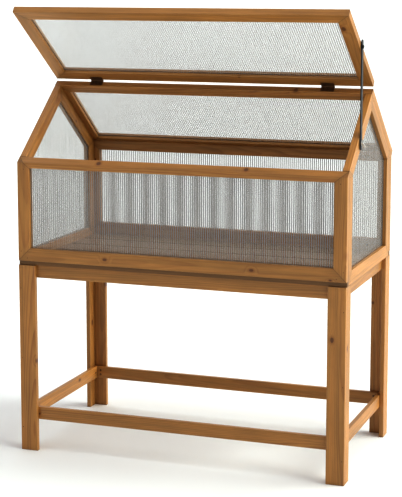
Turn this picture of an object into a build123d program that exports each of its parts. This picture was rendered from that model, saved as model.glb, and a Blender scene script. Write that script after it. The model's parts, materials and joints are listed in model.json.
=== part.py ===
from build123d import *
import os
from math import cos, radians, sin, tan

os.makedirs("parts", exist_ok=True)

# A cold frame on a leg stand: glazed box, fixed back roof slope, hinged front lid held open by a stay.
# Frame: +X to the right, +Y to the back, +Z up. Origin: centre of the stand's footprint, on the ground.

# ---- driving dimensions (mm, degrees) ----
WIDTH = 1000.0
DEPTH = 535.0
STAND_HEIGHT = 566.0
EAVE_HEIGHT = 872.0
ROOF_PITCH = 38.0
LID_OPEN = 35.5             # slope of the open lid above the horizontal
LID_LENGTH = 364.0

BOARD = 20.0                # thickness of every box, roof and lid member
MEMBER = 38.0               # face width of those members
EAVE_FACE = 16.0            # height of the eave rails' outer face below the bevel
EDGE = 1.4                  # rounding of the long edges

LEG_BOARD = 13.0
LEG_FACE = 53.0
LEG_DEPTH = 52.0
RAIL_HEIGHT = 38.0
STRETCHER_Z = 95.0

SLAT = 13.0
SLAT_COUNT = 5
SLAT_WIDTH = 95.0
SLAT_RECESS = 6.0           # front and rear edge of the floor behind the panels' faces

GLAZING = 4.0
GROOVE = 6.0                # how far the sheet enters each member
WALL_REVEAL = 11.0          # outer face of a wall frame to its sheet
ROOF_REVEAL = 8.0

HINGE_X = (-365.0, 365.0)
HINGE_LENGTH = 40.0
LEAF = 1.1
LEAF_REACH = 19.5           # pin axis to the leaf's free edge
LEAF_GAP = 2.4              # between the two wooden faces when the lid is shut
PIN_SETBACK = 3.5           # pin axis beyond the wooden edges
KNUCKLE_RADIUS = 2.6
PIN_RADIUS = 1.25
KNUCKLE_END = 10.0          # length of each outer knuckle
KNUCKLE_SLACK = 0.2
RUNNING_FIT = 0.05
LEAF_SCREW_SPREAD = 14.0    # outer screws of a leaf from its middle, along the pin
LEAF_SCREW_NEAR = 9.5       # pin axis to the outer screws
LEAF_SCREW_FAR = 14.5       # pin axis to the middle screw

SCREW_RADIUS = 1.5
SCREW_HEAD = 2.7
SCREW_LENGTH = 13.0
STAND_SCREW_HEAD = 3.6
STAND_SCREW_LENGTH = 22.0
DRIVER_WIDTH = 0.7          # cross recess in the screw heads
DRIVER_DEPTH = 0.6
STAND_SCREW_IN = 38.0       # outer faces of the leg to its screws
STAND_SCREW_APART = 14.0    # between the two screws into a face board

STAY_HOLES = 268.0
STAY_ALONG_LID = 198.8      # pin axis to the stay's pivot, along the lid
BAR_WIDTH = 16.0
BAR = 3.0
BAR_HOLE = 2.6
BAR_OFFSET = 1.6            # side face of the lid to the bar
BAR_TAIL = 12.0             # straight part of the bar beyond each hole
PIVOT_DEPTH = 18.0
PIVOT_HEAD = 3.0
PIVOT_HEAD_RADIUS = 5.6
PIVOT_SLOT_LENGTH = 6.0
PIVOT_SLOT_WIDTH = 1.0
WASHER_RADIUS = 7.0
WING_FLANGE = 1.2
WING_HUB_RADIUS = 4.6
WING_HUB_HEIGHT = 5.0
WING_LENGTH = 15.0
WING_WIDTH = 6.8
WING_THICKNESS = 2.6
WING_TILT = 38.0
WING_SPREAD = 8.2           # thumb screw's axis to the middle of a wing
WING_RISE = 6.4             # flange to the middle of a wing
WING_EDGE = 0.4
TIP_GAP = 0.3               # tip of the undone thumb screw to the rafter

# ---- places worked out from them ----
HALF_X = WIDTH / 2
HALF_Y = DEPTH / 2
PITCH = radians(ROOF_PITCH)
OPEN = radians(LID_OPEN)
PIVOT_SHANK = BAR_HOLE - RUNNING_FIT
BAR_OUTSIDE = BAR_OFFSET + BAR + RUNNING_FIT
PANEL_BASE = STAND_HEIGHT + SLAT
POST_TOP = EAVE_HEIGHT + BOARD * tan(PITCH)
APEX = EAVE_HEIGHT + HALF_Y * tan(PITCH)
RIDGE = Vector(0, BOARD / (2 * sin(PITCH)), APEX + BOARD / (2 * cos(PITCH)))
UP_FRONT_SLOPE = Vector(0, cos(PITCH), sin(PITCH))
FRONT_NORMAL = Vector(0, -sin(PITCH), cos(PITCH))
REAR_NORMAL = Vector(0, sin(PITCH), cos(PITCH))
LID_RUN = Vector(0, -cos(OPEN), sin(OPEN))
LID_NORMAL = Vector(0, sin(OPEN), cos(OPEN))
PIN = RIDGE + UP_FRONT_SLOPE * PIN_SETBACK + FRONT_NORMAL * (LEAF_GAP / 2)
FRONT_RAFTER_PLANE = Plane(origin=(0, 0, APEX), x_dir=(1, 0, 0), z_dir=FRONT_NORMAL)
REAR_RAFTER_PLANE = Plane(origin=(0, 0, APEX), x_dir=(1, 0, 0), z_dir=REAR_NORMAL)
FRAME_LEAF_PLANE = Plane(origin=PIN, x_dir=(1, 0, 0), z_dir=FRONT_NORMAL)
LID_LEAF_PLANE = Plane(origin=PIN, x_dir=(1, 0, 0), z_dir=LID_NORMAL)
STAY_TOP = PIN + LID_RUN * STAY_ALONG_LID + LID_NORMAL * (LEAF_GAP / 2 + BOARD / 2)
STAY_FOOT = STAY_TOP - Vector(0, 0, STAY_HOLES)


def save(builder, name):
    builder.part.label = name
    export_step(builder.part, f"parts/{name}.step")


# ---- mitred frames: outline corners run anticlockwise on a plane whose normal points inwards ----
def inset(outline, widths):
    """Corners of the outline with each side moved inwards by its own width."""
    count = len(outline)
    sides = []
    for index in range(count):
        start = Vector(*outline[index])
        along = (Vector(*outline[(index + 1) % count]) - start).normalized()
        inward = Vector(-along.Y, along.X)
        sides.append((start + inward * widths[index], along))
    corners = []
    for index in range(count):
        point, along = sides[index - 1]
        other, other_along = sides[index]
        gap = other - point
        turn = along.X * other_along.Y - along.Y * other_along.X
        reach = (gap.X * other_along.Y - gap.Y * other_along.X) / turn
        corner = point + along * reach
        corners.append((corner.X, corner.Y))
    return corners


def member(name, plane, outline, widths, side, reveal, trims=(), cutters=()):
    """One mitred, grooved member along one side of the outline."""
    follow = (side + 1) % len(outline)
    inner = inset(outline, widths)
    pocket = inset(outline, [width - GROOVE for width in widths])
    start = plane.from_local_coords(outline[side])
    end = plane.from_local_coords(outline[follow])
    with BuildPart() as board:
        with BuildSketch(plane):
            with BuildLine():
                Polyline(outline[side], outline[follow], inner[follow], inner[side], close=True)
            make_face()
        extrude(amount=BOARD)
        for trim in trims:
            split(bisect_by=trim, keep=Keep.BOTTOM)
        fillet(board.edges().filter_by(Axis(start, end - start)), EDGE)
        with BuildSketch(plane.offset(reveal)):
            with BuildLine():
                Polyline(*pocket, close=True)
            make_face()
        extrude(amount=GLAZING, mode=Mode.SUBTRACT)
        for cutter in cutters:
            add(cutter, mode=Mode.SUBTRACT)
    save(board, name)


def sheet(name, plane, outline, widths, reveal):
    """Glazing sheet held in the grooves of the whole frame."""
    with BuildPart() as glazing:
        with BuildSketch(plane.offset(reveal)):
            with BuildLine():
                Polyline(*inset(outline, [width - GROOVE for width in widths]), close=True)
            make_face()
        extrude(amount=GLAZING)
    save(glazing, name)


def frame(prefix, names, plane, outline, widths, reveal, trims=(), cutters=()):
    """Every member of one frame and its sheet. names follow the sides of the outline."""
    for side, name in enumerate(names):
        member(f"{prefix}_{name}", plane, outline, widths, side, reveal, trims, cutters)
    sheet(f"{prefix}_glazing", plane, outline, widths, reveal)


# ---- fasteners ----
def screw(place, radius, head_radius, length, slotted):
    """Countersunk screw below the place's origin, head flush with it, pointing along its -Z."""
    head_height = head_radius - radius
    with BuildPart() as body:
        with BuildSketch(Plane.XZ):
            with BuildLine():
                Polyline(
                    (0, 0),
                    (head_radius, 0),
                    (radius, -head_height),
                    (radius, radius - length),
                    (0, -length),
                    close=True,
                )
            make_face()
        revolve(axis=Axis.Z)
        if slotted:
            Box(head_radius * 1.3, DRIVER_WIDTH, 2 * DRIVER_DEPTH, mode=Mode.SUBTRACT)
            Box(DRIVER_WIDTH, head_radius * 1.3, 2 * DRIVER_DEPTH, mode=Mode.SUBTRACT)
    return place.location * body.part


def screw_group(name, places, radius, head_radius, length):
    """Saves the screws as one node and returns plain blanks of them for cutting their holes."""
    screws = [screw(place, radius, head_radius, length, True) for place in places]
    with BuildPart() as group:
        for solid in screws:
            add(solid)
    save(group, name)
    return [screw(place, radius, head_radius, length, False) for place in places]


def leaf_screw_places(plane, height, outward):
    """Three screws per hinge leaf in a shallow triangle. outward is 1 or -1 along the plane's normal."""
    pattern = (
        (-LEAF_SCREW_SPREAD, LEAF_SCREW_NEAR),
        (0, LEAF_SCREW_FAR),
        (LEAF_SCREW_SPREAD, LEAF_SCREW_NEAR),
    )
    places = []
    for hinge_x in HINGE_X:
        for across, reach in pattern:
            spot = plane.from_local_coords((hinge_x + across, -reach, height))
            places.append(Plane(origin=spot, x_dir=(1, 0, 0), z_dir=plane.z_dir * outward))
    return places


def stand_screw_places():
    """Driven from inside through each apron and stretcher: two into the leg's face board, one into its side."""
    places = []
    for right in (-1, 1):
        for rear in (-1, 1):
            for height in (STAND_HEIGHT - RAIL_HEIGHT / 2, STRETCHER_Z + RAIL_HEIGHT / 2):
                for step in (-STAND_SCREW_APART / 2, STAND_SCREW_APART / 2):
                    x = right * (HALF_X - STAND_SCREW_IN)
                    y = rear * (HALF_Y - 2 * LEG_BOARD)
                    places.append(Plane(origin=(x, y, height + step), x_dir=(1, 0, 0), z_dir=(0, -rear, 0)))
                x = right * (HALF_X - 2 * LEG_BOARD)
                y = rear * (HALF_Y - STAND_SCREW_IN)
                places.append(Plane(origin=(x, y, height), x_dir=(0, 1, 0), z_dir=(-right, 0, 0)))
    return places


# ---- stand ----
def plank(name, along, low, high, cutters=()):
    """A board between two opposite corners, its edges along one axis rounded."""
    size = [high[index] - low[index] for index in range(3)]
    centre = ((low[0] + high[0]) / 2, (low[1] + high[1]) / 2)
    with BuildPart() as board:
        with BuildSketch(Plane.XY.offset(low[2])):
            with Locations(centre):
                Rectangle(size[0], size[1])
        extrude(amount=size[2])
        fillet(board.edges().filter_by(along), EDGE)
        for cutter in cutters:
            add(cutter, mode=Mode.SUBTRACT)
    save(board, name)


def span(side, near, far):
    """Low and high ends of a stretch measured inwards from the +side or -side face."""
    return (min(side * near, side * far), max(side * near, side * far))


def make_stand():
    blanks = screw_group(
        "stand_screws", stand_screw_places(), SCREW_RADIUS, STAND_SCREW_HEAD, STAND_SCREW_LENGTH
    )
    side_inner = HALF_X - LEG_BOARD
    rail_inner = side_inner - LEG_BOARD
    face_inner = HALF_Y - LEG_BOARD
    beam_inner = face_inner - LEG_BOARD
    apron = (STAND_HEIGHT - RAIL_HEIGHT, STAND_HEIGHT)
    stretcher = (STRETCHER_Z, STRETCHER_Z + RAIL_HEIGHT)
    top = STAND_HEIGHT
    for x_name, x_side in (("left", -1), ("right", 1)):
        for y_name, y_side in (("front", -1), ("rear", 1)):
            leg = f"{y_name}_{x_name}_leg"
            x = span(x_side, HALF_X, HALF_X - LEG_FACE)
            y = span(y_side, HALF_Y, face_inner)
            plank(f"{leg}_face_board", Axis.Z, (x[0], y[0], 0), (x[1], y[1], top), blanks)
            x = span(x_side, HALF_X, side_inner)
            y = span(y_side, face_inner, HALF_Y - LEG_DEPTH)
            plank(f"{leg}_side_board", Axis.Z, (x[0], y[0], 0), (x[1], y[1], top), blanks)
        x = span(x_side, side_inner, rail_inner)
        for kind, y, z in (("apron", beam_inner, apron), ("stretcher", face_inner, stretcher)):
            plank(f"{x_name}_{kind}", Axis.Y, (x[0], -y, z[0]), (x[1], y, z[1]), blanks)
    for y_name, y_side in (("front", -1), ("rear", 1)):
        y = span(y_side, face_inner, beam_inner)
        for kind, x, z in (("apron", side_inner, apron), ("stretcher", rail_inner, stretcher)):
            plank(f"{y_name}_{kind}", Axis.X, (-x, y[0], z[0]), (x, y[1], z[1]), blanks)


def make_floor():
    """Lengthways boards. The front and rear ones run out to the sides under the panels."""
    depth = DEPTH - 2 * SLAT_RECESS
    spacing = (depth - SLAT_WIDTH) / (SLAT_COUNT - 1)
    tongue = BOARD - SLAT_RECESS
    with BuildPart() as slats:
        with BuildSketch(Plane.XY.offset(STAND_HEIGHT)):
            with GridLocations(0, spacing, 1, SLAT_COUNT):
                Rectangle(WIDTH - 2 * BOARD, SLAT_WIDTH)
            with GridLocations(0, depth - tongue, 1, 2):
                Rectangle(WIDTH, tongue)
        extrude(amount=SLAT)
        fillet(slats.edges().filter_by(Axis.X), EDGE)
    save(slats, "floor_slats")


# ---- box ----
def make_walls():
    outline = [
        (-HALF_X, PANEL_BASE),
        (HALF_X, PANEL_BASE),
        (HALF_X, POST_TOP),
        (-HALF_X, POST_TOP),
    ]
    widths = (MEMBER, MEMBER, POST_TOP - EAVE_HEIGHT + EAVE_FACE, MEMBER)
    front = Plane(origin=(0, -HALF_Y, 0), x_dir=(-1, 0, 0), z_dir=(0, 1, 0))
    rear = Plane(origin=(0, HALF_Y, 0), x_dir=(1, 0, 0), z_dir=(0, -1, 0))
    front_names = ("bottom_rail", "left_stile", "top_rail", "right_stile")
    rear_names = ("bottom_rail", "right_stile", "top_rail", "left_stile")
    frame("front_panel", front_names, front, outline, widths, WALL_REVEAL, (FRONT_RAFTER_PLANE,))
    frame("rear_panel", rear_names, rear, outline, widths, WALL_REVEAL, (REAR_RAFTER_PLANE,))


def make_ends():
    depth = HALF_Y - BOARD
    outline = [
        (-depth, STAND_HEIGHT),
        (depth, STAND_HEIGHT),
        (depth, POST_TOP),
        (0, APEX),
        (-depth, POST_TOP),
    ]
    widths = (MEMBER,) * 5
    left = Plane(origin=(-HALF_X, 0, 0), x_dir=(0, 1, 0), z_dir=(1, 0, 0))
    right = Plane(origin=(HALF_X, 0, 0), x_dir=(0, -1, 0), z_dir=(-1, 0, 0))
    left_names = ("sill", "rear_post", "rear_rafter", "front_rafter", "front_post")
    right_names = ("sill", "front_post", "front_rafter", "rear_rafter", "rear_post")
    frame("left_end", left_names, left, outline, widths, WALL_REVEAL)
    frame("right_end", right_names, right, outline, widths, WALL_REVEAL)


def make_back_roof(cutters):
    plane = Plane(
        origin=Vector(0, 0, APEX) + REAR_NORMAL * BOARD,
        x_dir=(1, 0, 0),
        z_dir=REAR_NORMAL * -1,
    )
    slope = HALF_Y / cos(PITCH)
    outline = [(-HALF_X, -slope), (HALF_X, -slope), (HALF_X, 0), (-HALF_X, 0)]
    names = ("eave_rail", "right_rail", "ridge_rail", "left_rail")
    frame("back_roof", names, plane, outline, (MEMBER,) * 4, ROOF_REVEAL, (FRONT_RAFTER_PLANE,), cutters)


def make_lid(cutters):
    plane = Plane(
        origin=PIN + LID_NORMAL * (LEAF_GAP / 2 + BOARD),
        x_dir=(1, 0, 0),
        z_dir=LID_NORMAL * -1,
    )
    end = PIN_SETBACK + LID_LENGTH
    outline = [(-HALF_X, PIN_SETBACK), (HALF_X, PIN_SETBACK), (HALF_X, end), (-HALF_X, end)]
    names = ("hinge_rail", "right_rail", "front_rail", "left_rail")
    frame("lid", names, plane, outline, (MEMBER,) * 4, ROOF_REVEAL, (), cutters)


# ---- hinges ----
def barrel(start_x, length, radius):
    """A round along the hinge axis."""
    with BuildPart() as body:
        with BuildSketch(Plane(origin=(start_x, PIN.Y, PIN.Z), x_dir=(0, 1, 0), z_dir=(1, 0, 0))):
            Circle(radius)
        extrude(amount=length)
    return body.part


def leaf_plate(plane, hinge_x, height, stretches):
    """Flat of one leaf, cleared round the knuckles of the other leaf over the given stretches."""
    clearance = KNUCKLE_RADIUS + 2 * KNUCKLE_SLACK
    with BuildPart() as plate:
        with BuildSketch(plane.offset(height)):
            with Locations((hinge_x, -LEAF_REACH / 2)):
                Rectangle(HINGE_LENGTH, LEAF_REACH)
            for centre, length in stretches:
                with Locations((hinge_x + centre, -clearance / 2)):
                    Rectangle(length, clearance, mode=Mode.SUBTRACT)
        extrude(amount=LEAF)
    return plate.part


def make_leaves(name, plane, height, stretches, knuckles, bore, blanks):
    """Both hinges' leaves on one side. stretches and knuckles are (centre, length) along the pin."""
    solids = []
    bores = []
    for hinge_x in HINGE_X:
        solids.append(leaf_plate(plane, hinge_x, height, stretches))
        solids += [barrel(hinge_x + at - length / 2, length, KNUCKLE_RADIUS) for at, length in knuckles]
        bores.append(barrel(hinge_x - HINGE_LENGTH / 2, HINGE_LENGTH, bore))
    with BuildPart() as leaves:
        for solid in solids:
            add(solid)
        for cutter in bores + blanks:
            add(cutter, mode=Mode.SUBTRACT)
    save(leaves, name)


def make_hinges(frame_blanks, lid_blanks):
    middle = HINGE_LENGTH - 2 * KNUCKLE_END
    outer_at = (HINGE_LENGTH - KNUCKLE_END) / 2
    stretch = KNUCKLE_END + KNUCKLE_SLACK
    stretch_at = (HINGE_LENGTH - stretch) / 2
    make_leaves(
        "hinge_frame_leaves",
        FRAME_LEAF_PLANE,
        -LEAF_GAP / 2,
        [(0, middle)],
        [(-outer_at, KNUCKLE_END), (outer_at, KNUCKLE_END)],
        PIN_RADIUS,
        frame_blanks,
    )
    make_leaves(
        "hinge_lid_leaves",
        LID_LEAF_PLANE,
        LEAF_GAP / 2 - LEAF,
        [(-stretch_at, stretch), (stretch_at, stretch)],
        [(0, middle - 2 * KNUCKLE_SLACK)],
        PIN_RADIUS + RUNNING_FIT,
        lid_blanks,
    )
    pin_solids = [barrel(hinge_x - HINGE_LENGTH / 2, HINGE_LENGTH, PIN_RADIUS) for hinge_x in HINGE_X]
    with BuildPart() as pins:
        for solid in pin_solids:
            add(solid)
    save(pins, "hinge_pins")


# ---- stay ----
def side_plane(place, offset):
    """Plane facing +X at a pivot, a given distance outside the right end of the box."""
    return Plane(origin=(HALF_X + offset, place.Y, place.Z), x_dir=(0, 1, 0), z_dir=(1, 0, 0))


def pivot_blank():
    """The part of the pivot screw that sits inside the lid."""
    with BuildPart() as shank:
        with BuildSketch(side_plane(STAY_TOP, -PIVOT_DEPTH)):
            Circle(PIVOT_SHANK)
        extrude(amount=PIVOT_DEPTH)
    return shank.part


def make_bar():
    middle = (STAY_TOP + STAY_FOOT) * 0.5
    with BuildPart() as bar:
        with BuildSketch(side_plane(middle, BAR_OFFSET)):
            SlotCenterToCenter(STAY_HOLES + 2 * BAR_TAIL, BAR_WIDTH, rotation=90)
            with Locations((0, STAY_HOLES / 2), (0, -STAY_HOLES / 2)):
                Circle(BAR_HOLE, mode=Mode.SUBTRACT)
        extrude(amount=BAR)
    save(bar, "stay_bar")


def make_pivot():
    with BuildPart() as washer:
        with BuildSketch(side_plane(STAY_TOP, 0)):
            Circle(WASHER_RADIUS)
            Circle(PIVOT_SHANK, mode=Mode.SUBTRACT)
        extrude(amount=BAR_OFFSET - RUNNING_FIT)
    save(washer, "stay_pivot_washer")
    with BuildPart() as pivot:
        with BuildSketch(side_plane(STAY_TOP, -PIVOT_DEPTH)):
            Circle(PIVOT_SHANK)
        extrude(amount=PIVOT_DEPTH + BAR_OUTSIDE)
        with BuildSketch(side_plane(STAY_TOP, BAR_OUTSIDE)):
            Circle(PIVOT_HEAD_RADIUS)
        extrude(amount=PIVOT_HEAD)
        fillet(pivot.edges().sort_by(Axis.X)[-1], PIVOT_HEAD / 2)
        with BuildSketch(side_plane(STAY_TOP, BAR_OUTSIDE + PIVOT_HEAD)):
            Rectangle(PIVOT_SLOT_LENGTH, PIVOT_SLOT_WIDTH)
            Rectangle(PIVOT_SLOT_WIDTH, PIVOT_SLOT_LENGTH)
        extrude(amount=-PIVOT_HEAD / 2, mode=Mode.SUBTRACT)
    save(pivot, "stay_pivot_screw")


def make_wing_screw():
    """Thumb screw through the foot of the bar, with a flange, a hub and two rounded wings."""
    base = HALF_X + BAR_OUTSIDE + WING_FLANGE
    with BuildPart() as wing_screw:
        with BuildSketch(side_plane(STAY_FOOT, TIP_GAP)):
            Circle(PIVOT_SHANK)
        extrude(amount=BAR_OUTSIDE - TIP_GAP)
        with BuildSketch(side_plane(STAY_FOOT, BAR_OUTSIDE)):
            Circle(WASHER_RADIUS)
        extrude(amount=WING_FLANGE)
        with BuildSketch(side_plane(STAY_FOOT, BAR_OUTSIDE + WING_FLANGE)):
            Circle(WING_HUB_RADIUS)
        extrude(amount=WING_HUB_HEIGHT)
        with BuildSketch(Plane(origin=(base, STAY_FOOT.Y, STAY_FOOT.Z), x_dir=(0, 0, 1), z_dir=(0, 1, 0))):
            for side in (-1, 1):
                with Locations((side * WING_SPREAD, WING_RISE)):
                    SlotOverall(WING_LENGTH, WING_WIDTH, rotation=side * WING_TILT)
        extrude(amount=WING_THICKNESS / 2, both=True)
        fillet(wing_screw.edges().filter_by(GeomType.CIRCLE).sort_by(Axis.X)[-1], WING_EDGE)
    save(wing_screw, "stay_wing_screw")


def make_cold_frame():
    frame_places = leaf_screw_places(FRAME_LEAF_PLANE, -LEAF_GAP / 2 + LEAF, 1)
    lid_places = leaf_screw_places(LID_LEAF_PLANE, LEAF_GAP / 2 - LEAF, -1)
    frame_blanks = screw_group("hinge_frame_screws", frame_places, SCREW_RADIUS, SCREW_HEAD, SCREW_LENGTH)
    lid_blanks = screw_group("hinge_lid_screws", lid_places, SCREW_RADIUS, SCREW_HEAD, SCREW_LENGTH)
    make_stand()
    make_floor()
    make_walls()
    make_ends()
    make_back_roof(frame_blanks)
    make_lid(lid_blanks + [pivot_blank()])
    make_hinges(frame_blanks, lid_blanks)
    make_bar()
    make_pivot()
    make_wing_screw()


make_cold_frame()
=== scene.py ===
import json
import random
import zlib
from math import radians

import bmesh
import bpy
import numpy as np
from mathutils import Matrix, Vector
from mathutils.bvhtree import BVHTree

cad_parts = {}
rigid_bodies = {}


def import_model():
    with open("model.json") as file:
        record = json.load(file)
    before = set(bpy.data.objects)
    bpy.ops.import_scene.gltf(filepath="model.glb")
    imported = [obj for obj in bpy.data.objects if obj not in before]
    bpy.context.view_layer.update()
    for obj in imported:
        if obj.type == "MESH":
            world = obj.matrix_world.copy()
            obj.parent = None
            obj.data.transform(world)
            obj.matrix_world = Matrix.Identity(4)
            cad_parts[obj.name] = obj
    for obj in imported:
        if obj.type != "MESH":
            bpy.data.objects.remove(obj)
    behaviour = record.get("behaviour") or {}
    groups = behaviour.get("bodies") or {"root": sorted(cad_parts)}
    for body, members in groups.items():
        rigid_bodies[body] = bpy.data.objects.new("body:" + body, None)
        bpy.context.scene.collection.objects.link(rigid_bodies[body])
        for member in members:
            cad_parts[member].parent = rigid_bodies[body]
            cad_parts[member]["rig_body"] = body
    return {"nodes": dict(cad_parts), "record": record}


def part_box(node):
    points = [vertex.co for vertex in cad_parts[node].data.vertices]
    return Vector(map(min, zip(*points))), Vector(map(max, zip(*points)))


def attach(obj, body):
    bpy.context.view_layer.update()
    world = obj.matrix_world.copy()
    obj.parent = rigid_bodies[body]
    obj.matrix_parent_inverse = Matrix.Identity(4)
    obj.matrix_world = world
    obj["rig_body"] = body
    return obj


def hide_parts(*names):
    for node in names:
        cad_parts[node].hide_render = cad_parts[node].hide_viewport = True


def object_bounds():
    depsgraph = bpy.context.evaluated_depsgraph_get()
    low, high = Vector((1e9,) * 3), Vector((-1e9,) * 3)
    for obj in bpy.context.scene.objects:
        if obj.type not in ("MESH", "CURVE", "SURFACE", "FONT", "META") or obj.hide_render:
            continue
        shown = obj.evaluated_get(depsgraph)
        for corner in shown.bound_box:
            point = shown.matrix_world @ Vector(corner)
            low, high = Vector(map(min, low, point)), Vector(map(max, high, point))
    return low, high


# Looks of the cold frame: stained fir boards, twin-wall sheets and hinge, stay and screw metal.

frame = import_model()
cad_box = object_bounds()

BODY_OF = {node: obj["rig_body"] for node, obj in frame["nodes"].items()}
SLOT_OF = {part["node"]: part["material_slot"] for part in frame["record"]["subparts"]}

# ---- camera (metres, degrees): the photograph's viewing angle ----
CAMERA_PLACE = (1.518, -4.268, 1.421)
CAMERA_YAW = 19.83          # turned left from +Y
CAMERA_PITCH = -8.07
CAMERA_LENS = 110.35        # mm on the 36 mm long side
CAMERA_SHIFT = -0.118       # share of the long side

# ---- wood ----
EARLY_WOOD = (0.460, 0.230, 0.065)
LATE_WOOD = (0.290, 0.108, 0.025)
WARM_WOOD = (0.375, 0.135, 0.026)
KNOT_RIM_WOOD = (0.24, 0.085, 0.019)
KNOT_WOOD = (0.120, 0.040, 0.012)
WORN_WOOD = (0.60, 0.36, 0.15)
RING_SPACING = 0.0034
RING_UNEVEN = 2.2           # rings, most that one is early or late
RING_WAVE = 0.016           # metres that the rings wander along a board
KNOT_SWELL = 0.0055         # metres that the rings bow out round a knot
KNOT_CELL = (0.24, 0.055)   # spacing of possible knots along and across a board
KNOT_STRETCH = 0.62         # a knot's width for its length
KNOT_RARITY = 0.66          # share of the cells that have none
KNOT_SIZES = (0.0022, 0.0062)
PITH_SLOPE = -0.014         # depth of the pith for each metre along a board
PLANK_STEP = 7.3            # seed from one plank of a node to the next
FIBRE_SCALES = (26.0, 1500.0)   # noise cells a metre, along and across the grain
STREAK_SCALES = (2.2, 95.0)
BLOTCH_SCALES = (5.0, 22.0)
WAVE_SCALES = (2.6, 11.0)
EDGE_WEAR = (0.0004, 0.0016)    # metres from a long edge where wear ends
JOINT_LINE = (0.0003, 0.0010)   # metres from a mitre where its shadow ends
STAIN_DRAWN_IN = 0.014      # metres from an end that drink more stain
WOOD_RELIEF = 0.00035
SLAT_COUNT = 5
ONE_PLANK = 10.0            # wider than any board
# painted shade: the floor slats' colour darkened overall, for the shade in the recess under the front panel
# and inside the box
FLOOR_PAINTED_SHADE = 0.66
SLAT_EDGE_PAINTED_SHADE = 0.66       # painted shade on the slats' long edges, for the shadow in the recess under the front panel

# ---- twin-wall sheets ----
FLUTE_PITCH = 0.0065
SKIN = 0.0004
RIB = 0.0015                # with the fillets on both sides
SKIN_TINT = (0.50, 0.49, 0.48)
RIB_TINT = (0.38, 0.372, 0.365)
SKIN_ALPHA = 0.055
RIB_ALPHA = 0.90
HAZE_SCALES = (160.0, 160.0, 6.0)
DUST_SCALES = (9.0, 9.0, 9.0)
SHEET_RELIEF = 0.0001
TOUCHING = 1e-6             # metres between two lines that count as one

# ---- pins at the mitres ----
PIN_RADIUS = 0.0013
PIN_RISE = 0.00025
PIN_FROM_MITRE = 0.009
PIN_ACROSS = 0.56           # share of a member's half width
PIN_PROBE = 0.1             # metres off a surface that the search for it starts
PIN_SIDES = 16
LEG_PIN_HEIGHTS = (0.070, 0.283, 0.496)
LEG_PIN_IN = 0.0065         # side face of the leg to its pins


# ---- shader nodes ----
class Graph:
    """Adds nodes to one tree. The methods take numbers, tuples and sockets, and return an output socket."""

    def __init__(self, tree):
        self.tree = tree

    def feed(self, socket, value):
        if isinstance(value, bpy.types.NodeSocket):
            self.tree.links.new(value, socket)
        elif value is not None:
            socket.default_value = value

    def node(self, kind, *inputs, **settings):
        made = self.tree.nodes.new(kind)
        for key, value in settings.items():
            setattr(made, key, value)
        for socket, value in zip(made.inputs, inputs):
            self.feed(socket, value)
        return made

    def math(self, operation, first, second=None):
        return self.node("ShaderNodeMath", first, second, operation=operation).outputs[0]

    def product(self, *values):
        result = values[0]
        for value in values[1:]:
            result = self.math("MULTIPLY", result, value)
        return result

    def vector(self, operation, first, second=None, output=0):
        return self.node("ShaderNodeVectorMath", first, second, operation=operation).outputs[output]

    def length(self, vector):
        return self.vector("LENGTH", vector, output=1)

    def dot(self, first, second):
        return self.vector("DOT_PRODUCT", first, second, output=1)

    def combine(self, x, y, z):
        return self.node("ShaderNodeCombineXYZ", x, y, z).outputs[0]

    def noise(self, vector, detail=2.0, roughness=0.5):
        """Noise from 0 to 1 over a vector that is already scaled."""
        made = self.node("ShaderNodeTexNoise")
        self.feed(made.inputs["Vector"], vector)
        made.inputs["Scale"].default_value = 1.0
        made.inputs["Detail"].default_value = detail
        made.inputs["Roughness"].default_value = roughness
        return made.outputs["Fac"]

    def span(self, value, low, high, to_low=0.0, to_high=1.0):
        """value carried smoothly from low..high to to_low..to_high."""
        made = self.node("ShaderNodeMapRange", interpolation_type="SMOOTHSTEP")
        for socket, given in zip(made.inputs, (value, low, high, to_low, to_high)):
            self.feed(socket, given)
        return made.outputs[0]

    def mix(self, share, first, second, blend="MIX"):
        made = self.node("ShaderNodeMix", data_type="RGBA", blend_type=blend)
        self.feed(made.inputs["Factor"], share)
        colours = [socket for socket in made.inputs if socket.type == "RGBA"]
        self.feed(colours[0], rgba(first))
        self.feed(colours[1], rgba(second))
        return [socket for socket in made.outputs if socket.type == "RGBA"][0]

    def grey(self, value):
        return self.node("ShaderNodeCombineColor", value, value, value).outputs[0]


def rgba(colour):
    return (*colour, 1.0) if isinstance(colour, tuple) and len(colour) == 3 else colour


def new_material(name):
    """A material with an empty tree but for its Principled shader and output."""
    material = bpy.data.materials.new(name)
    material.use_nodes = True
    material.node_tree.nodes.clear()
    graph = Graph(material.node_tree)
    shader = graph.node("ShaderNodeBsdfPrincipled")
    output = graph.node("ShaderNodeOutputMaterial")
    graph.feed(output.inputs["Surface"], shader.outputs[0])
    return material, graph, shader


def bump(graph, shader, height, distance):
    made = graph.node("ShaderNodeBump")
    made.inputs["Distance"].default_value = distance
    graph.feed(made.inputs["Height"], height)
    graph.feed(shader.inputs["Normal"], made.outputs[0])


# ---- stained fir ----
WOOD_INPUTS = (
    ("Run", "NodeSocketVector"),
    ("Across", "NodeSocketVector"),
    ("Normal", "NodeSocketVector"),
    ("Centre", "NodeSocketVector"),
    ("Half", "NodeSocketVector"),
    ("Low end", "NodeSocketVector"),
    ("Low reach", "NodeSocketFloat"),
    ("High end", "NodeSocketVector"),
    ("High reach", "NodeSocketFloat"),
    ("Pith", "NodeSocketVector"),
    ("Seed", "NodeSocketFloat"),
    ("Tone", "NodeSocketFloat"),
    ("Plank", "NodeSocketFloat"),
    ("Edge painted shade", "NodeSocketFloat"),
)
WOOD_OUTPUTS = (
    ("Color", "NodeSocketColor"),
    ("Roughness", "NodeSocketFloat"),
    ("Height", "NodeSocketFloat"),
)


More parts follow.
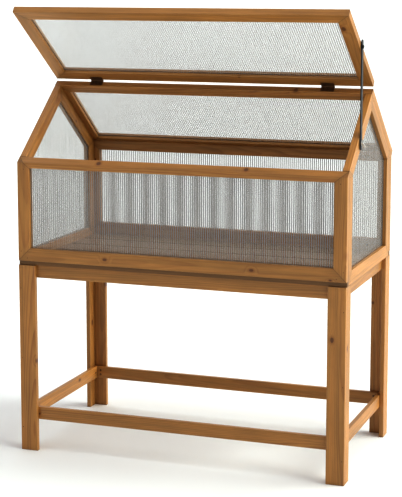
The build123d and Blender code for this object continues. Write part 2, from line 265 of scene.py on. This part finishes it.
def wood_group():
    """Stained softwood over one board: rings, knots, fibres, blotches, worn edges, a painted shadow line at
    the joints and painted shade on chosen long edges.
    """
    tree = bpy.data.node_groups.new("stained_fir", "ShaderNodeTree")
    for name, kind in WOOD_INPUTS:
        tree.interface.new_socket(name, in_out="INPUT", socket_type=kind)
    for name, kind in WOOD_OUTPUTS:
        tree.interface.new_socket(name, in_out="OUTPUT", socket_type=kind)
    graph = Graph(tree)
    given = graph.node("NodeGroupInput").outputs
    coordinates = graph.node("ShaderNodeTexCoord").outputs
    place = coordinates["Object"]
    from_centre = graph.vector("SUBTRACT", place, given["Centre"])
    along = graph.dot(from_centre, given["Run"])
    side = graph.dot(from_centre, given["Across"])
    depth = graph.dot(from_centre, given["Normal"])

    # several planks in one node: each takes its own seed and its own middle
    plank = graph.math("FLOOR", graph.math("ADD", graph.math("DIVIDE", side, given["Plank"]), 0.5))
    side = graph.math("SUBTRACT", side, graph.math("MULTIPLY", plank, given["Plank"]))
    seed = graph.math("ADD", given["Seed"], graph.math("MULTIPLY", plank, PLANK_STEP))
    offset = graph.combine(seed, graph.math("MULTIPLY", seed, 1.7), graph.math("MULTIPLY", seed, 0.6))

    def stretched(scales):
        scaled = graph.combine(
            graph.math("MULTIPLY", along, scales[0]),
            graph.math("MULTIPLY", side, scales[1]),
            graph.math("MULTIPLY", depth, scales[1]),
        )
        return graph.vector("ADD", scaled, offset)

    # knots: one possible knot in each stretched cell
    cell = graph.combine(
        graph.math("DIVIDE", along, KNOT_CELL[0]), graph.math("DIVIDE", side, KNOT_CELL[1]), seed
    )
    cell = graph.vector("ADD", cell, offset)
    knots = graph.node("ShaderNodeTexVoronoi", voronoi_dimensions="2D")
    graph.feed(knots.inputs["Vector"], cell)
    knots.inputs["Scale"].default_value = 1.0
    knots.inputs["Randomness"].default_value = 0.85
    to_knot = graph.vector("SUBTRACT", cell, knots.outputs["Position"])
    to_knot = graph.vector("MULTIPLY", to_knot, (KNOT_CELL[0] * KNOT_STRETCH, KNOT_CELL[1], 0.0))
    knot_far = graph.length(to_knot)
    chance = graph.node("ShaderNodeSeparateColor", knots.outputs["Color"]).outputs
    present = graph.math("GREATER_THAN", chance[0], KNOT_RARITY)
    knot_size = graph.span(chance[1], 0.0, 1.0, *KNOT_SIZES)
    knot_ratio = graph.math("DIVIDE", knot_far, knot_size)
    knot = graph.math("MULTIPLY", graph.span(knot_ratio, 0.85, 1.1, 1.0, 0.0), present)
    knot_rim = graph.math("MULTIPLY", graph.span(knot_ratio, 0.8, 2.4, 1.0, 0.0), present)
    swell = graph.math("MULTIPLY", graph.span(knot_ratio, 0.5, 4.5, 1.0, 0.0), present)

    # growth rings
    pith = graph.node("ShaderNodeSeparateXYZ", given["Pith"]).outputs
    pith_side = graph.math("ADD", pith[0], graph.math("MULTIPLY", along, pith[2]))
    pith_depth = graph.math("ADD", pith[1], graph.math("MULTIPLY", along, PITH_SLOPE))
    wave = graph.math("SUBTRACT", graph.noise(stretched(WAVE_SCALES), 2.0), 0.5)
    radius = graph.length(
        graph.combine(
            graph.math("SUBTRACT", side, pith_side), graph.math("SUBTRACT", depth, pith_depth), 0.0
        )
    )
    radius = graph.math("ADD", radius, graph.math("MULTIPLY", wave, RING_WAVE))
    radius = graph.math("ADD", radius, graph.math("MULTIPLY", swell, KNOT_SWELL))
    uneven = graph.noise(graph.combine(graph.math("MULTIPLY", radius, 90.0), seed, 0.0), 1.0)
    ring = graph.math("DIVIDE", radius, RING_SPACING)
    ring = graph.math("ADD", ring, graph.math("MULTIPLY", uneven, RING_UNEVEN))
    phase = graph.math("FRACT", ring)
    late = graph.math("MULTIPLY", graph.span(phase, 0.30, 0.90), graph.span(phase, 0.93, 1.0, 1.0, 0.0))
    band = graph.noise(graph.combine(graph.math("MULTIPLY", radius, 55.0), seed, 4.0), 1.0)
    late = graph.math("MULTIPLY", late, graph.span(band, 0.25, 0.75, 0.35, 1.0))

    # fibres, pores and stain
    fibre = graph.noise(stretched(FIBRE_SCALES), 3.0, 0.65)
    streak = graph.noise(stretched(STREAK_SCALES), 3.0, 0.6)
    blotch = graph.noise(stretched(BLOTCH_SCALES), 3.0, 0.55)
    colour = graph.mix(graph.math("MULTIPLY", late, 0.62), EARLY_WOOD, LATE_WOOD)
    shade = graph.product(
        graph.span(fibre, 0.28, 0.72, 0.90, 1.08),
        graph.span(streak, 0.28, 0.72, 0.84, 1.13),
        graph.span(blotch, 0.28, 0.72, 0.90, 1.10),
        given["Tone"],
    )
    colour = graph.mix(1.0, colour, graph.grey(shade), "MULTIPLY")
    warm = graph.math("MULTIPLY", graph.span(streak, 0.55, 0.8), 0.35)
    colour = graph.mix(warm, colour, WARM_WOOD)
    colour = graph.mix(graph.math("MULTIPLY", knot_rim, 0.55), colour, KNOT_RIM_WOOD)
    colour = graph.mix(graph.math("MULTIPLY", knot, 0.85), colour, KNOT_WOOD)

    # worn long edges, stain drawn in at the ends, painted shadow line at the joints, end grain, painted shade
    # on the slats' long edges
    half = graph.node("ShaderNodeSeparateXYZ", given["Half"]).outputs
    side_left = graph.math("SUBTRACT", half[1], graph.math("ABSOLUTE", side))
    depth_left = graph.math("SUBTRACT", half[2], graph.math("ABSOLUTE", depth))
    to_edge = graph.math("MAXIMUM", side_left, depth_left)
    worn = graph.product(graph.span(to_edge, *EDGE_WEAR, 1.0, 0.0), graph.span(blotch, 0.35, 0.6), 0.40)
    colour = graph.mix(worn, colour, WORN_WOOD)
    low = graph.math("SUBTRACT", given["Low reach"], graph.dot(place, given["Low end"]))
    high = graph.math("SUBTRACT", given["High reach"], graph.dot(place, given["High end"]))
    to_end = graph.math("MINIMUM", low, high)
    drawn = graph.span(to_end, 0.0, STAIN_DRAWN_IN, 0.90, 1.0)
    # painted shadow line along each mitre and end joint
    joint = graph.span(to_end, *JOINT_LINE, 0.50, 1.0)
    facing = graph.math("ABSOLUTE", graph.dot(coordinates["Normal"], given["Run"]))
    end_grain = graph.span(facing, 0.6, 0.9)
    joint = graph.math("MAXIMUM", joint, end_grain)
    long_edge = graph.math("ABSOLUTE", graph.dot(coordinates["Normal"], given["Across"]))
    stain_and_painted_shade = graph.product(
        drawn,
        joint,
        graph.span(end_grain, 0.0, 1.0, 1.0, 0.66),
        # painted shade: long-edge faces darkened to the edge shade value; only the floor slats use it, for
        # the shadow in the recess under the front panel
        graph.span(long_edge, 0.6, 0.9, 1.0, given["Edge painted shade"]),
    )
    colour = graph.mix(1.0, colour, graph.grey(stain_and_painted_shade), "MULTIPLY")

    roughness = graph.math("ADD", 0.40, graph.math("MULTIPLY", fibre, 0.10))
    roughness = graph.math("ADD", roughness, graph.math("MULTIPLY", late, -0.05))
    roughness = graph.math("ADD", roughness, graph.math("MULTIPLY", end_grain, 0.22))
    height = graph.math("ADD", graph.math("MULTIPLY", fibre, 0.55), graph.math("MULTIPLY", late, 0.45))
    height = graph.math("SUBTRACT", height, graph.math("MULTIPLY", knot, 0.35))
    out = graph.node("NodeGroupOutput")
    graph.feed(out.inputs["Color"], colour)
    graph.feed(out.inputs["Roughness"], roughness)
    graph.feed(out.inputs["Height"], height)
    return tree


def triangles(obj):
    """Corner points, unit normals and areas of the mesh's faces, as arrays."""
    mesh = obj.data
    mesh.calc_loop_triangles()
    points = np.array([v.co for v in mesh.vertices], float)
    corners = points[np.array([t.vertices[:] for t in mesh.loop_triangles])]
    cross = np.cross(corners[:, 1] - corners[:, 0], corners[:, 2] - corners[:, 0])
    areas = np.linalg.norm(cross, axis=1) / 2
    kept = areas > 1e-12
    return corners[kept], cross[kept] / (2 * areas[kept, None]), areas[kept]


def largest_facing(normals, areas, allowed):
    """The direction, among the allowed faces, that has the most area."""
    totals = {}
    for normal, area in zip(normals[allowed], areas[allowed]):
        key = tuple(np.round(normal, 2) + 0.0)
        totals[key] = totals.get(key, 0.0) + area
    best = np.array(max(totals, key=totals.get))
    near = normals[allowed & (normals @ best > 0.999 * np.linalg.norm(best))]
    return near.mean(0) / np.linalg.norm(near.mean(0))


def longest_edge(obj):
    mesh = obj.data
    points = np.array([v.co for v in mesh.vertices], float)
    ends = np.array([edge.vertices[:] for edge in mesh.edges])
    runs = points[ends[:, 1]] - points[ends[:, 0]]
    return runs[np.argmax(np.linalg.norm(runs, axis=1))]


class Board:
    """How a board lies, read from its mesh: directions, middle, half sizes and its two end planes."""

    def __init__(self, obj):
        corners, normals, areas = triangles(obj)
        run = longest_edge(obj)
        axis = np.argmax(np.abs(run))
        run = run * np.sign(run[axis])
        # the triangle's diagonal isn't quite the board's run, so the run is squared to the broad face's side
        rough = run / np.linalg.norm(run)
        flat = np.abs(normals @ rough) < 0.2
        self.normal = largest_facing(normals, areas, flat)
        others = flat & (np.abs(normals @ self.normal) < 0.2)
        side = largest_facing(normals, areas, others)
        run = np.cross(side, self.normal)
        run = run / np.linalg.norm(run)
        self.run = run * np.sign(run @ rough)
        self.across = np.cross(self.normal, self.run)
        points = corners.reshape(-1, 3)
        spans = [points @ direction for direction in (self.run, self.across, self.normal)]
        lows = np.array([span.min() for span in spans])
        highs = np.array([span.max() for span in spans])
        middle = (lows + highs) / 2
        self.half = (highs - lows) / 2
        self.centre = middle[0] * self.run + middle[1] * self.across + middle[2] * self.normal
        self.ends = []
        for sign in (-1, 1):
            facing = largest_facing(normals, areas, (normals @ self.run) * sign > 0.3)
            here = corners[normals @ facing > 0.999].reshape(-1, 3)
            self.ends.append((facing, (here @ facing).max(), here.mean(0)))


def fir(node, board, group, tone, plank, edge_shade):
    """The wood material of one board."""
    draw = random.Random(zlib.crc32(node.encode()))
    material, graph, shader = new_material(f"fir_{node}")
    wood = graph.node("ShaderNodeGroup", node_tree=group)
    pith = (
        draw.uniform(-0.03, 0.03),
        draw.choice((-1, 1)) * draw.uniform(0.025, 0.07),
        draw.uniform(-0.02, 0.02),
    )
    values = {
        "Run": board.run,
        "Across": board.across,
        "Normal": board.normal,
        "Centre": board.centre,
        "Half": board.half,
        "Low end": board.ends[0][0],
        "Low reach": board.ends[0][1],
        "High end": board.ends[1][0],
        "High reach": board.ends[1][1],
        "Pith": pith,
        "Seed": draw.uniform(0.0, 60.0),
        "Tone": tone * draw.uniform(0.90, 1.10),
        "Plank": plank,
        "Edge painted shade": edge_shade,
    }
    for name, value in values.items():
        wood.inputs[name].default_value = value
    graph.feed(shader.inputs["Base Color"], wood.outputs["Color"])
    graph.feed(shader.inputs["Roughness"], wood.outputs["Roughness"])
    shader.inputs["Specular IOR Level"].default_value = 0.5
    shader.inputs["Coat Weight"].default_value = 0.22
    shader.inputs["Coat Roughness"].default_value = 0.34
    bump(graph, shader, wood.outputs["Height"], WOOD_RELIEF)
    return material


# ---- metal ----
METALS = {
    "bronzed_steel": {
        "colour": (0.150, 0.080, 0.040),
        "worn_colour": (0.34, 0.21, 0.11),
        "metallic": 0.6,
        "roughness": 0.45,
        "mottling": 0.30,
        "grain": 0.00006,
    },
    "black_steel": {
        "colour": (0.013, 0.013, 0.014),
        "worn_colour": (0.06, 0.06, 0.06),
        "metallic": 0.2,
        "roughness": 0.36,
        "mottling": 0.30,
        "grain": 0.00004,
    },
    "zinc_steel": {
        "colour": (0.62, 0.62, 0.60),
        "worn_colour": (0.80, 0.80, 0.78),
        "metallic": 1.0,
        "roughness": 0.28,
        "mottling": 0.12,
        "grain": 0.00003,
    },
}
CLOUD_SCALE = 180.0
GRAIN_SCALE = 1400.0


def metal(name, colour, worn_colour, metallic, roughness, mottling, grain):
    """Plated or lacquered steel: mottled colour, rubbed high spots and a fine surface grain."""
    material, graph, shader = new_material(name)
    place = graph.node("ShaderNodeTexCoord").outputs["Object"]
    cloud = graph.noise(graph.vector("MULTIPLY", place, (CLOUD_SCALE,) * 3), 3.0, 0.6)
    fine = graph.noise(graph.vector("MULTIPLY", place, (GRAIN_SCALE,) * 3), 3.0, 0.6)
    shade = graph.span(cloud, 0.3, 0.7, 1.0 - mottling, 1.0 + mottling)
    tint = graph.mix(1.0, colour, graph.grey(shade), "MULTIPLY")
    rubbed = graph.product(graph.span(cloud, 0.58, 0.74), graph.span(fine, 0.42, 0.62), 0.5)
    graph.feed(shader.inputs["Base Color"], graph.mix(rubbed, tint, worn_colour))
    rough = graph.math("ADD", roughness - 0.08, graph.math("MULTIPLY", fine, 0.16))
    graph.feed(shader.inputs["Roughness"], rough)
    shader.inputs["Metallic"].default_value = metallic
    bump(graph, shader, fine, grain)
    return material


# ---- twin-wall sheets ----
def sheet_material(name, alpha, roughness, tint):
    """Clear-grey extruded plastic, slightly streaked along the flutes."""
    material, graph, shader = new_material(name)
    place = graph.node("ShaderNodeTexCoord").outputs["Object"]
    haze = graph.noise(graph.vector("MULTIPLY", place, HAZE_SCALES), 2.0)
    dust = graph.noise(graph.vector("MULTIPLY", place, DUST_SCALES), 3.0)
    shade = graph.product(graph.span(haze, 0.3, 0.7, 0.93, 1.06), graph.span(dust, 0.3, 0.7, 0.96, 1.04))
    graph.feed(shader.inputs["Base Color"], graph.mix(1.0, tint, graph.grey(shade), "MULTIPLY"))
    graph.feed(shader.inputs["Roughness"], graph.span(haze, 0.3, 0.7, roughness - 0.06, roughness + 0.08))
    shader.inputs["Alpha"].default_value = alpha
    shader.inputs["IOR"].default_value = 1.58
    bump(graph, shader, haze, SHEET_RELIEF)
    return material


def outline_ends(outline, position):
    """Lowest and highest place of a convex outline at one position across it."""
    found = []
    for start, end in zip(outline, outline[1:] + outline[:1]):
        if min(start[0], end[0]) - 1e-9 <= position <= max(start[0], end[0]) + 1e-9:
            if abs(end[0] - start[0]) < 1e-9:
                found += [start[1], end[1]]
            else:
                share = (position - start[0]) / (end[0] - start[0])
                found.append(start[1] + share * (end[1] - start[1]))
    return min(found), max(found)


def sheet_outline(obj, normal, across, up):
    """The convex outline of a sheet's broad face, in its own two directions."""
    corners, normals, _ = triangles(obj)
    points = corners[normals @ normal > 0.999].reshape(-1, 3)
    flat = np.unique(np.round(np.stack([points @ across, points @ up], 1), 6), axis=0)
    middle = flat.mean(0)
    turn = np.arctan2(flat[:, 1] - middle[1], flat[:, 0] - middle[0])
    return [tuple(point) for point in flat[np.argsort(turn)]]


def twin_wall(node, skin, rib):
    """Replaces a plain glazing solid by a fluted sheet: two skins joined by ribs, open at the ends."""
    source = frame["nodes"][node]
    _, normals, areas = triangles(source)
    normal = largest_facing(normals, areas, np.ones(len(areas), bool))
    across = np.array((0.0, 1.0, 0.0)) if abs(normal[0]) > 0.5 else np.array((1.0, 0.0, 0.0))
    up = np.cross(normal, across)
    outline = sheet_outline(source, normal, across, up)
    points = np.array([v.co for v in source.data.vertices], float) @ normal
    back, front = points.min(), points.max()
    layers = (back, back + SKIN, front - SKIN, front)
    low = min(point[0] for point in outline)
    high = max(point[0] for point in outline)
    middle = (low + high) / 2
    count = int((high - low) / 2 / FLUTE_PITCH)
    lines = [low]
    for index in range(-count, count + 1):
        place = middle + index * FLUTE_PITCH
        lines += [max(place - RIB / 2, low), min(place + RIB / 2, high)]
    lines.append(high)
    lines = [line for index, line in enumerate(lines) if index == 0 or line - lines[index - 1] > TOUCHING]
    mesh_points = []
    for line in lines:
        for end in outline_ends(outline, line):
            for layer in layers:
                mesh_points.append(line * across + end * up + layer * normal)

    def at(line, end, layer):
        return (line * 2 + end) * len(layers) + layer

    faces = []
    marks = []

    def face(mark, *corners):
        faces.append(corners)
        marks.append(mark)

    last = len(lines) - 1
    for index in range(last):
        following = index + 1
        is_rib = lines[following] - lines[index] < 1.5 * RIB or index in (0, last - 1)
        mark = 1 if is_rib else 0
        face(mark, at(index, 0, 0), at(following, 0, 0), at(following, 1, 0), at(index, 1, 0))
        face(mark, at(index, 0, 3), at(index, 1, 3), at(following, 1, 3), at(following, 0, 3))
        for layer in (0, 1, 2):
            if is_rib or layer != 1:
                for end in (0, 1):
                    ring = [(index, layer), (following, layer), (following, layer + 1), (index, layer + 1)]
                    if end == 0:
                        ring.reverse()
                    face(mark, *[at(line, end, height) for line, height in ring])
        if not is_rib:
            face(0, at(index, 0, 1), at(index, 1, 1), at(following, 1, 1), at(following, 0, 1))
            face(0, at(index, 0, 2), at(following, 0, 2), at(following, 1, 2), at(index, 1, 2))
            face(0, at(index, 0, 1), at(index, 0, 2), at(index, 1, 2), at(index, 1, 1))
            face(0, at(following, 0, 1), at(following, 1, 1), at(following, 1, 2), at(following, 0, 2))
    for layer in (0, 1, 2):
        face(1, at(0, 0, layer), at(0, 1, layer), at(0, 1, layer + 1), at(0, 0, layer + 1))
        face(1, at(last, 0, layer), at(last, 0, layer + 1), at(last, 1, layer + 1), at(last, 1, layer))
    piece = mesh_piece(f"{node}_twin_wall", mesh_points, faces, (skin, rib))
    for polygon, mark in zip(piece.data.polygons, marks):
        polygon.material_index = mark
    fix_normals(piece)
    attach(piece, BODY_OF[node])
    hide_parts(node)


def mesh_piece(name, points, faces, materials):
    mesh = bpy.data.meshes.new(name)
    mesh.from_pydata([tuple(point) for point in points], [], faces)
    for material in materials:
        mesh.materials.append(material)
    piece = bpy.data.objects.new(name, mesh)
    bpy.context.scene.collection.objects.link(piece)
    return piece


def fix_normals(piece):
    """Merges doubled corners and turns every face outwards."""
    shape = bmesh.new()
    shape.from_mesh(piece.data)
    bmesh.ops.remove_doubles(shape, verts=shape.verts, dist=1e-7)
    bmesh.ops.recalc_face_normals(shape, faces=shape.faces)
    shape.to_mesh(piece.data)
    shape.free()


# ---- pins at the mitres ----
def mitre_pins(board, towards):
    """Two places beside each mitre of a member, on the face that looks towards."""
    places = []
    for facing, _, middle in board.ends:
        inward = -np.sign(facing @ board.run) * board.run
        for share in (-PIN_ACROSS, PIN_ACROSS):
            places.append(middle + inward * PIN_FROM_MITRE + board.across * board.half[1] * share)
    return [(place, towards) for place in places]


def leg_pins(node):
    """Places up the outer edge of a leg's face board, where it is nailed to the side board."""
    low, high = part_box(node)
    x = low.x + LEG_PIN_IN if low.x < 0 else high.x - LEG_PIN_IN
    y_side = -1.0 if low.y < 0 else 1.0
    return [((x, (low.y + high.y) / 2, z), (0.0, y_side, 0.0)) for z in LEG_PIN_HEIGHTS]


def pin_heads(name, places_of, material, body):
    """Small domed pin heads on the nodes' surfaces. places_of maps a node to places and directions."""
    points = []
    faces = []
    for node, places in places_of.items():
        mesh = frame["nodes"][node].data
        tree = BVHTree.FromPolygons([v.co for v in mesh.vertices], [p.vertices[:] for p in mesh.polygons])
        for place, direction in places:
            towards = Vector(direction)
            hit, normal, _, _ = tree.ray_cast(Vector(place) + towards * PIN_PROBE, -towards)
            if hit is not None and normal.dot(towards) > 0.98:
                add_dome(points, faces, hit, towards)
    piece = mesh_piece(name, points, faces, (material,))
    fix_normals(piece)
    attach(piece, body)


def add_dome(points, faces, centre, axis):
    """A closed shallow dome, sunk by its own rise below the surface that it sits on."""
    side = axis.orthogonal().normalized()
    other = axis.cross(side)
    start = len(points)
    rings = ((1.0, -1.0), (1.0, 0.35), (0.72, 0.8))
    for share, rise in rings:
        for index in range(PIN_SIDES):
            angle = radians(360.0 * index / PIN_SIDES)
            out = side * np.cos(angle) + other * np.sin(angle)
            points.append(centre + out * PIN_RADIUS * share + axis * PIN_RISE * rise)
    for ring in range(len(rings) - 1):
        for index in range(PIN_SIDES):
            following = (index + 1) % PIN_SIDES
            low = start + ring * PIN_SIDES
            faces.append((low + index, low + following, low + PIN_SIDES + following, low + PIN_SIDES + index))
    faces.append(tuple(start + PIN_SIDES - 1 - index for index in range(PIN_SIDES)))
    top = start + (len(rings) - 1) * PIN_SIDES
    faces.append(tuple(top + index for index in range(PIN_SIDES)))


# ---- the object ----
def dress_wood():
    group = wood_group()
    boards = {}
    for node, slot in SLOT_OF.items():
        if slot != "stained_fir":
            continue
        obj = frame["nodes"][node]
        boards[node] = Board(obj)
        if node == "floor_slats":
            plank = 2 * boards[node].half[1] / SLAT_COUNT
            # the floor slats' colour carries painted shade: darker overall and darker on their long edges
            material = fir(node, boards[node], group, FLOOR_PAINTED_SHADE, plank, SLAT_EDGE_PAINTED_SHADE)
        else:
            material = fir(node, boards[node], group, 1.0, ONE_PLANK, 1.0)
        obj.data.materials.clear()
        obj.data.materials.append(material)
    return boards


def dress_metal():
    finishes = {name: metal(name, **finish) for name, finish in METALS.items()}
    for node, slot in SLOT_OF.items():
        if slot in finishes:
            obj = frame["nodes"][node]
            obj.data.materials.clear()
            obj.data.materials.append(finishes[slot])
    return finishes


def dress_sheets():
    skin = sheet_material("sheet_skin", SKIN_ALPHA, 0.20, SKIN_TINT)
    rib = sheet_material("sheet_rib", RIB_ALPHA, 0.30, RIB_TINT)
    for node, slot in SLOT_OF.items():
        if slot == "twin_wall_sheet":
            twin_wall(node, skin, rib)


def add_pins(boards, material):
    centre = np.array((cad_box[0] + cad_box[1]) / 2)
    mitred = ("front_panel", "rear_panel", "left_end", "right_end", "back_roof", "lid")
    pieces = {"corner_pins_frame": {}, "corner_pins_lid": {}, "leg_pins": {}}
    for node, board in boards.items():
        if node.startswith(mitred):
            towards = board.normal * np.sign(board.normal @ (board.centre - centre))
            group = "corner_pins_lid" if node.startswith("lid") else "corner_pins_frame"
            pieces[group][node] = mitre_pins(board, towards)
        elif node.endswith("leg_face_board"):
            pieces["leg_pins"][node] = leg_pins(node)
    for name, places_of in pieces.items():
        pin_heads(name, places_of, material, BODY_OF[next(iter(places_of))])


# ---- studio ----
FLOOR_COLOUR = (0.90, 0.92, 0.94)
FLOOR_REACH = 150.0
FLOOR_DROP = 0.0005         # below the feet
KEY = {"towards": (0.88, 0.12, 0.47), "strength": 4.0, "angle": 60.0, "colour": (0.955, 1.0, 0.92)}
TOP = {"towards": (0.0, 0.25, 1.0), "strength": 1.5, "angle": 120.0, "colour": (1.0, 0.99, 0.98)}
FILL, GLOSS, BACKDROP = 0.35, 0.8, 1.0


def add_floor():
    material, graph, shader = new_material("studio_floor")
    shader.inputs["Base Color"].default_value = rgba(FLOOR_COLOUR)
    shader.inputs["Roughness"].default_value = 0.8
    shader.inputs["Specular IOR Level"].default_value = 0.1
    corners = [(x * FLOOR_REACH, y * FLOOR_REACH, 0.0) for x, y in ((-1, -1), (1, -1), (1, 1), (-1, 1))]
    floor = mesh_piece("studio_floor", corners, [(0, 1, 2, 3)], (material,))
    floor.location.z = -FLOOR_DROP


def add_sun(name, towards, strength, angle, colour):
    lamp = bpy.data.lights.new(name, "SUN")
    lamp.energy = strength
    lamp.angle = radians(angle)
    lamp.color = colour
    obj = bpy.data.objects.new(name, lamp)
    obj.rotation_mode = "QUATERNION"
    obj.rotation_quaternion = Vector(towards).to_track_quat("Z", "Y")
    bpy.context.scene.collection.objects.link(obj)


def add_world(fill, gloss, backdrop):
    """White behind the object; less of it reaches the surfaces as light."""
    world = bpy.data.worlds.new("studio")
    bpy.context.scene.world = world
    world.use_nodes = True
    world.node_tree.nodes.clear()
    graph = Graph(world.node_tree)
    path = graph.node("ShaderNodeLightPath").outputs
    level = graph.math("MAXIMUM", fill, graph.math("MULTIPLY", path["Is Glossy Ray"], gloss))
    level = graph.math("MAXIMUM", level, graph.math("MULTIPLY", path["Is Camera Ray"], backdrop))
    background = graph.node("ShaderNodeBackground")
    background.inputs["Color"].default_value = (1.0, 1.0, 1.0, 1.0)
    graph.feed(background.inputs["Strength"], level)
    graph.feed(graph.node("ShaderNodeOutputWorld").inputs["Surface"], background.outputs[0])


def add_camera():
    lens = bpy.data.cameras.new("camera")
    lens.sensor_width = 36.0
    lens.lens = CAMERA_LENS
    lens.shift_y = CAMERA_SHIFT
    lens.clip_end = 400.0
    camera = bpy.data.objects.new("camera", lens)
    camera.location = CAMERA_PLACE
    camera.rotation_euler = (radians(90 + CAMERA_PITCH), 0.0, radians(CAMERA_YAW))
    bpy.context.scene.collection.objects.link(camera)
    bpy.context.scene.camera = camera


boards = dress_wood()
finishes = dress_metal()
dress_sheets()
add_pins(boards, finishes["bronzed_steel"])
add_floor()
add_sun("key", **KEY)
add_sun("top", **TOP)
add_world(FILL, GLOSS, BACKDROP)
add_camera()
bpy.context.scene.view_settings.view_transform = "Standard"
bpy.context.scene.view_settings.gamma = 0.7
bpy.context.scene.cycles.transparent_max_bounces = 64
